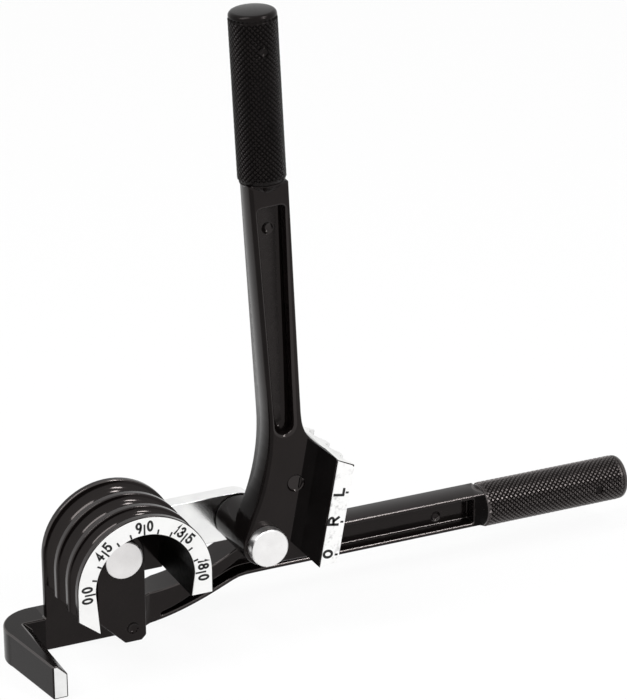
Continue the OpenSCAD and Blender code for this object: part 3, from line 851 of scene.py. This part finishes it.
def lever_hub():
    """The round hub behind the plate, bored for the pin."""
    profile = [(0, 0), (HUB_R - 0.5, 0), (HUB_R - 0.15, 0.15), (HUB_R, 0.5), (HUB_R, HUB_D), (0, HUB_D)]
    hub = new_object("hub", turned(profile, Matrix.Translation(at_pin(PIN_AXIS, 0.0)) @ ALONG_Y), 180)
    carve(hub, at_pin(PIN_AXIS, -HUB_D), PIN_BORE, HUB_D + 2.0)
    # painted shade: the hub takes a darker, duller copy of the paint
    for face in hub.data.polygons:
        face.material_index = lever_finish(HALF_SHADE)
    return hub


def grip_stub(flare=4.5, r=5.5):
    """The flare below the upper grip and the core inside it."""
    top = GRIP_LEN - flare
    profile = [(0, -flare), (4.2, -flare), (GRIP_R - 0.45, -0.25), (GRIP_R - 0.6, 0),
               (r, 0), (r, top), (0, top)]
    return turned(profile, Matrix.Translation(Vector(UPPER_GRIP)) @ UPPER_TURN)


def lever_body():
    """The lever: plate, hub, shoe with its slopes, and the stub that carries the grip."""
    bm = bmesh.new()
    for obj in (lever_plate(), lever_hub(), shoe_ramp()):
        bm.from_mesh(obj.data)
        bpy.data.objects.remove(obj)
    join(bm, shoe_block())
    join(bm, grip_stub())
    cast("shoe_handle_cast", bm, LEVER_FINISHES, lever_crown, "lever", "shoe_handle")


lever_body()


# ---------------------------------------------------------------- the grips

KNURL_AROUND, KNURL_ROWS = 28, 30
KNURL_FROM, KNURL_TO = 0.5, GRIP_LEN - 2.3
KNURL_ROOT, KNURL_FLAT = GRIP_R - 0.55, 0.48


def knurl(bm):
    """Diamonds with flat tops, in staggered rows; gives back the points round both ends."""
    around, rows = KNURL_AROUND, KNURL_ROWS
    step = 2 * math.pi / around
    pitch = (KNURL_TO - KNURL_FROM) / rows
    half, rise = KNURL_FLAT * step / 2, KNURL_FLAT * pitch / 2

    def at(angle, r, z):
        return bm.verts.new((*polar(r, angle), z))

    base = [[at((i + 0.5 * (k % 2)) * step, KNURL_ROOT, KNURL_FROM + k * pitch / 2) for i in range(around)]
            for k in range(2 * rows + 1)]
    for k in range(1, 2 * rows):
        z = KNURL_FROM + k * pitch / 2
        for i in range(around):
            j = (i + 1) % around
            tip = i if k % 2 == 0 else j
            corners = (base[k][i], base[k - 1][tip], base[k][j], base[k + 1][tip])
            mid = (i + 0.5 + 0.5 * (k % 2)) * step
            crown = (at(mid - half, GRIP_R, z), at(mid, GRIP_R, z - rise),
                     at(mid + half, GRIP_R, z), at(mid, GRIP_R, z + rise))
            bm.faces.new(crown)
            for a in range(4):
                b = (a + 1) % 4
                bm.faces.new((corners[a], corners[b], crown[b], crown[a]))
    ends = []
    for k, other in ((0, 1), (2 * rows, 2 * rows - 1)):
        loop = []
        for i in range(around):
            j = (i + 1) % around
            mid = at((i + 0.5) * step, KNURL_ROOT, base[k][0].co.z)
            cell = (base[k][i], mid, base[k][j], base[other][i])
            bm.faces.new(cell if k == 0 else cell[::-1])
            loop += [base[k][i], mid]
        ends.append(loop)
    return ends


def knurled_sleeve(name, place, body, node_name, material, crease):
    """Grip sleeve with a cut diamond knurl, a smooth band and rounded end, and a hole for its cross pin."""
    bm = bmesh.new()
    low_end, high_end = knurl(bm)
    band, end_r, dome = GRIP_R - 0.12, 1.5, 0.35
    shoulder = GRIP_LEN - dome - end_r
    lower = [(CORE_R, GRIP_LEN - 3.0), (CORE_R, 0.0), (KNURL_ROOT - 0.35, 0.0), (KNURL_ROOT - 0.1, 0.15)]
    upper = [(band, KNURL_TO + 0.3), (band, shoulder)]
    for a in (18, 36, 54, 72, 86):
        out, rise = polar(end_r, math.radians(a))
        upper.append((band - end_r + out, shoulder + rise))
    upper += [(r, GRIP_LEN - dome * (r / (band - end_r)) ** 2) for r in (4.6, 3.0, 1.5, 0.5)]
    inside = [ring(bm, 2 * KNURL_AROUND, r, z) for r, z in lower] + [low_end]
    outside = [high_end] + [ring(bm, 2 * KNURL_AROUND, r, z) for r, z in upper]
    for loops in (inside, outside):
        for low, high in zip(loops, loops[1:]):
            bridge(bm, low, high)
    bm.faces.new(outside[-1])
    bm.faces.new(inside[0][::-1])
    bmesh.ops.recalc_face_normals(bm, faces=bm.faces)
    sleeve = new_object(name, bm, 180)
    carve(sleeve, Vector((0, -GRIP_R, GRIP_LEN - LOCK_FROM_END)), LOCK_R, 2 * GRIP_R + 2)
    sleeve.data.transform(place @ Matrix.Scale(MM, 4))
    sleeve.data.set_sharp_from_angle(angle=math.radians(crease))
    put(sleeve, body, "knurled_black", material, node_name)


def lock_pin(name, place, body, node_name):
    """The grip's cross pin, with a dished end at both sides of the sleeve."""
    reach = GRIP_R - 0.5
    end = [(0.0, 0.45), (0.55, 0.40), (0.95, 0.22), (1.2, 0.04), (1.32, 0.0), (1.45, 0.06), (LOCK_R, 0.28)]
    profile = [(r, dy - reach) for r, dy in end] + [(r, reach - dy) for r, dy in reversed(end)]
    across = Matrix.Translation((0, 0, GRIP_LEN - LOCK_FROM_END)) @ ALONG_Y
    pin = new_object(name, turned(profile, place @ Matrix.Scale(MM, 4) @ across, 40))
    # painted shade: the pin takes a darker, duller copy of the paint
    put(pin, body, "knurled_black", HALF_SHADE, node_name)


lower_place = Matrix.Translation(Vector(LOWER_GRIP) * MM) @ LOWER_TURN
upper_place = Matrix.Translation(Vector(UPPER_GRIP) * MM) @ UPPER_TURN
# the lower grip takes the lighter, glossier copy of the knurl paint: painted highlight
knurled_sleeve("lower_grip_sleeve", lower_place, "base", "lower_grip", KNURL_LIT, 24)
knurled_sleeve("upper_grip_sleeve", upper_place, "lever", "upper_grip", KNURL, 62)
lock_pin("lower_grip_pin", lower_place, "base", "lower_grip_lock")
lock_pin("upper_grip_pin", upper_place, "lever", "upper_grip_lock")


# ---------------------------------------------------------------- printed marks

INK_T = 0.03


def arc(cx, cy, rx, ry, start, end, count=14):
    """Points along part of an ellipse, between two angles in degrees."""
    turns = [math.radians(start + (end - start) * i / count) for i in range(count + 1)]
    return [(cx + rx * math.cos(t), cy + ry * math.sin(t)) for t in turns]


# the middle line of each stroke, in a box one wide and one high
STROKES = {
    "0": [arc(0.5, 0.5, 0.5, 0.5, 0, 360, 28)],
    "1": [[(0.0, 0.74), (0.6, 1.0), (0.6, 0.0)]],
    "3": [arc(0.46, 0.745, 0.42, 0.255, 155, -85) + arc(0.46, 0.255, 0.54, 0.255, 85, -155)],
    "4": [[(1.0, 0.28), (0.0, 0.28), (0.7, 1.0), (0.7, 0.0)]],
    "5": [[(0.95, 1.0), (0.16, 1.0), (0.08, 0.52)] + arc(0.46, 0.32, 0.54, 0.32, 118, -150, 18)],
    "8": [arc(0.5, 0.765, 0.42, 0.235, 0, 360, 24), arc(0.5, 0.265, 0.5, 0.265, 0, 360, 24)],
    "9": [arc(0.5, 0.69, 0.5, 0.31, 0, 360, 24), [(1.0, 0.69), (0.99, 0.48), (0.88, 0.22), (0.62, 0.0)]],
    "L": [[(0.0, 1.0), (0.0, 0.0), (1.0, 0.0)]],
    "R": [[(0.0, 0.0), (0.0, 1.0), (0.5, 1.0)] + arc(0.5, 0.74, 0.44, 0.26, 80, -80)
          + [(0.5, 0.48), (0.0, 0.48)],
          [(0.48, 0.48), (1.0, 0.0)]],
}


def add(bm, part, face_y):
    """Give a flat outline its thickness, a little proud of the plane y = face_y, and add it to the marks."""
    for v in part.verts:
        v.co = Vector((v.co.x, face_y / MM - INK_T, v.co.y))
    thicken(part, lambda y: y + 2 * INK_T)
    join(bm, part)


def ribbon(bm, points, thick, where, face_y):
    """A stroke of even width along a line of points, closed where the line ends at its start."""
    pts = [where(Vector(p)) for p in points]
    loop = (pts[0] - pts[-1]).length < 1e-6
    if loop:
        pts = pts[:-1]
    n = len(pts)
    sides = []
    for i, p in enumerate(pts):
        ahead = pts[(i + 1) % n] - p if loop or i < n - 1 else p - pts[i - 1]
        behind = p - pts[i - 1] if loop or i > 0 else ahead
        a, b = ahead.normalized(), behind.normalized()
        lean = (a + b).normalized()
        out = Vector((-lean.y, lean.x)) * (thick / 2 / max(0.45, lean.dot(a)))
        if not loop and i in (0, n - 1):
            p = p + lean * (thick / 2 if i else -thick / 2)
        sides.append((p + out, p - out))
    part = bmesh.new()
    rows = [(part.verts.new((l.x, l.y, 0)), part.verts.new((r.x, r.y, 0))) for l, r in sides]
    for i in range(n if loop else n - 1):
        (l0, r0), (l1, r1) = rows[i], rows[(i + 1) % n]
        part.faces.new((l0, r0, r1, l1))
    add(bm, part, face_y)


def glyph(bm, char, centre, right, up, width, height, face_y, thick=0.78):
    """One printed character between two in-plane directions."""
    across, tall = right * (width - thick), up * (height - thick)
    for points in STROKES[char]:
        ribbon(bm, points, thick, lambda p: centre + across * (p.x - 0.5) + tall * (p.y - 0.5), face_y)


def bar(bm, centre, right, up, width, height, face_y):
    """One printed tick."""
    part = bmesh.new()
    corners = ((-0.5, -0.5), (0.5, -0.5), (0.5, 0.5), (-0.5, 0.5))
    part.faces.new([part.verts.new((*(centre + right * x * width + up * y * height), 0)) for x, y in corners])
    add(bm, part, face_y)


def put_marks(name, bm, body):
    bmesh.ops.scale(bm, vec=(MM, MM, MM), verts=bm.verts)
    put(new_object(name, bm), body, "printed_label", INK)


def scale_marks():
    """Ticks every 15 degrees, and the angles 0 to 180 by 45, each number split by its tick."""
    face_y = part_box("angle_scale")[0][1]
    words = {0: ("0", "0"), 45: ("4", "5"), 90: ("9", "0"), 135: ("13", "5"), 180: ("18", "0")}
    tick_from, long_to, short_to, tick_w = ARCH_R + 0.35, 21.4, 19.3, 0.62
    number_r, wide, narrow, high, gap, pace = 20.5, 2.3, 1.1, 4.0, 0.85, 1.95
    origin = Vector((0, AXIS_H))
    bm = bmesh.new()
    for value in range(0, 181, 15):
        phi = math.radians(180 - value)
        up = Vector((math.cos(phi), math.sin(phi)))
        right = Vector((math.sin(phi), -math.cos(phi)))
        tick_to = long_to if value in words else short_to
        bar(bm, origin + up * (tick_from + tick_to) / 2, right, up, tick_w, tick_to - tick_from, face_y)
        if value in words:
            before, after = words[value]
            middle, side = origin + up * number_r, gap + wide / 2
            for n, char in enumerate(reversed(before)):
                width = narrow if char == "1" else wide
                glyph(bm, char, middle - right * (side + n * pace), right, up, width, high, face_y)
            glyph(bm, after, middle + right * side, right, up, wide, high, face_y)
    put_marks("scale_marks", bm, "base")


def shoe_marks(stroke=0.92, tick=(0.7, 1.1)):
    """L, R and 0 on the shoe's plate, each with its index mark."""
    face_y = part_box("shoe_label")[0][1]
    lean = math.radians(SHOE_LEAN)
    along = Vector((math.cos(lean), -math.sin(lean)))
    rise = Vector((math.sin(lean), math.cos(lean)))
    pin = Vector((LINK_LEN, AXIS_H))
    bm = bmesh.new()
    for char, x, z, wide, high, tick_x, tick_z in (("L", 18.76, 22.70, 3.0, 4.1, 21.7, 22.57),
                                                  ("R", 18.4, 12.28, 3.5, 4.3, 21.6, 11.98),
                                                  ("0", 18.41, 0.29, 3.3, 3.9, 21.6, 0.09)):
        glyph(bm, char, pin + along * x + rise * z, rise, -along, wide, high, face_y, stroke)
        bar(bm, pin + along * tick_x + rise * tick_z, rise, along, *tick, face_y)
    put_marks("shoe_marks", bm, "lever")


scale_marks()
shoe_marks()


# ---------------------------------------------------------------- studio, in metres

def seen_directly(tree):
    """One where a ray comes from the camera, or from a mirror-like or see-through surface."""
    path = node(tree, "ShaderNodeLightPath")
    first = node(tree, "ShaderNodeMath", operation="MAXIMUM")
    both = node(tree, "ShaderNodeMath", operation="MAXIMUM")
    tree.links.new(path.outputs["Is Camera Ray"], first.inputs[0])
    tree.links.new(path.outputs["Is Glossy Ray"], first.inputs[1])
    tree.links.new(first.outputs[0], both.inputs[0])
    tree.links.new(path.outputs["Is Transmission Ray"], both.inputs[1])
    return both.outputs[0]


def studio_floor(clear=0.93, below=0.0006):
    """A pale floor that lets the white world show through it, and keeps a faint shadow."""
    mat, tree, bsdf = make_material("studio_floor")
    bsdf.inputs["Base Color"].default_value = (0.9, 0.9, 0.9, 1)
    bsdf.inputs["Roughness"].default_value = 0.9
    glass = node(tree, "ShaderNodeBsdfTransparent")
    mix = node(tree, "ShaderNodeMixShader")
    share = node(tree, "ShaderNodeMath", operation="MULTIPLY")
    share.inputs[1].default_value = clear
    tree.links.new(seen_directly(tree), share.inputs[0])
    tree.links.new(share.outputs[0], mix.inputs[0])
    tree.links.new(bsdf.outputs[0], mix.inputs[1])
    tree.links.new(glass.outputs[0], mix.inputs[2])
    tree.links.new(mix.outputs[0], tree.nodes["Material Output"].inputs["Surface"])
    bm = bmesh.new()
    bmesh.ops.create_circle(bm, cap_ends=True, segments=64, radius=3.0)
    bmesh.ops.translate(bm, verts=bm.verts, vec=(0, 0, -below))
    floor = new_object("floor", bm, 180)
    floor.data.materials.append(mat)


def studio_world(light=0.45):
    """A world that is seen white and lights the object at a lower level."""
    world = bpy.data.worlds.new("studio")
    scene.world = world
    world.use_nodes = True
    tree = world.node_tree
    back = tree.nodes["Background"]
    back.inputs["Color"].default_value = (1, 1, 1, 1)
    level = node(tree, "ShaderNodeMapRange")
    level.inputs["To Min"].default_value = light
    level.inputs["To Max"].default_value = 1.0
    tree.links.new(seen_directly(tree), level.inputs["Value"])
    tree.links.new(level.outputs["Result"], back.inputs["Strength"])


def lamp(name, place, aim, size, power):
    """A soft box, aimed at a point."""
    data = bpy.data.lights.new(name, "AREA")
    data.shape = "RECTANGLE"
    data.size, data.size_y = size
    data.energy = power
    obj = bpy.data.objects.new(name, data)
    scene.collection.objects.link(obj)
    obj.location = place
    obj.rotation_euler = (Vector(aim) - Vector(place)).to_track_quat("-Z", "Y").to_euler()


# the camera fitted to the photograph: degrees, metres, and a focal length in the photograph's pixels
CAM_AZ, CAM_EL, CAM_ROLL = -24.718, 22.500, -0.327
CAM_DIST = 1.12437
CAM_AIM = Vector((0.076655, 0.0, 0.056208 + AXIS_H * MM))
FOCAL_PX, FRAME_PX, SENSOR = 3324.0, 700.0, 36.0


def photo_camera():
    """The camera at the photograph's viewing angle."""
    a, e, roll = math.radians(CAM_AZ), math.radians(CAM_EL), math.radians(CAM_ROLL)
    away = Vector((math.sin(a) * math.cos(e), -math.cos(a) * math.cos(e), math.sin(e)))
    level = (-away).cross(Vector((0, 0, 1))).normalized()
    plumb = level.cross(-away)
    right = level * math.cos(roll) + plumb * math.sin(roll)
    up = plumb * math.cos(roll) - level * math.sin(roll)
    data = bpy.data.cameras.new("camera")
    data.sensor_width = SENSOR
    data.lens = FOCAL_PX * SENSOR / FRAME_PX
    data.clip_end = 20.0
    cam = bpy.data.objects.new("camera", data)
    scene.collection.objects.link(cam)
    turn = Matrix((right, up, away)).transposed().to_4x4()
    cam.matrix_world = Matrix.Translation(CAM_AIM + away * CAM_DIST) @ turn
    scene.camera = cam


studio_floor()
studio_world()
lamp("top_box", (0.55, -0.46, 1.10), (0.08, 0, 0.08), (0.2, 0.2), 4.0)
lamp("left_box", (-0.62, -0.06, 1.10), (0.05, 0, 0.05), (0.34, 0.95), 10.0)
lamp("right_box", (0.616, -0.962, 0.769), (0.07, 0, 0.08), (0.24, 0.16), 4.5)
photo_camera()
scene.view_settings.view_transform = "Standard"
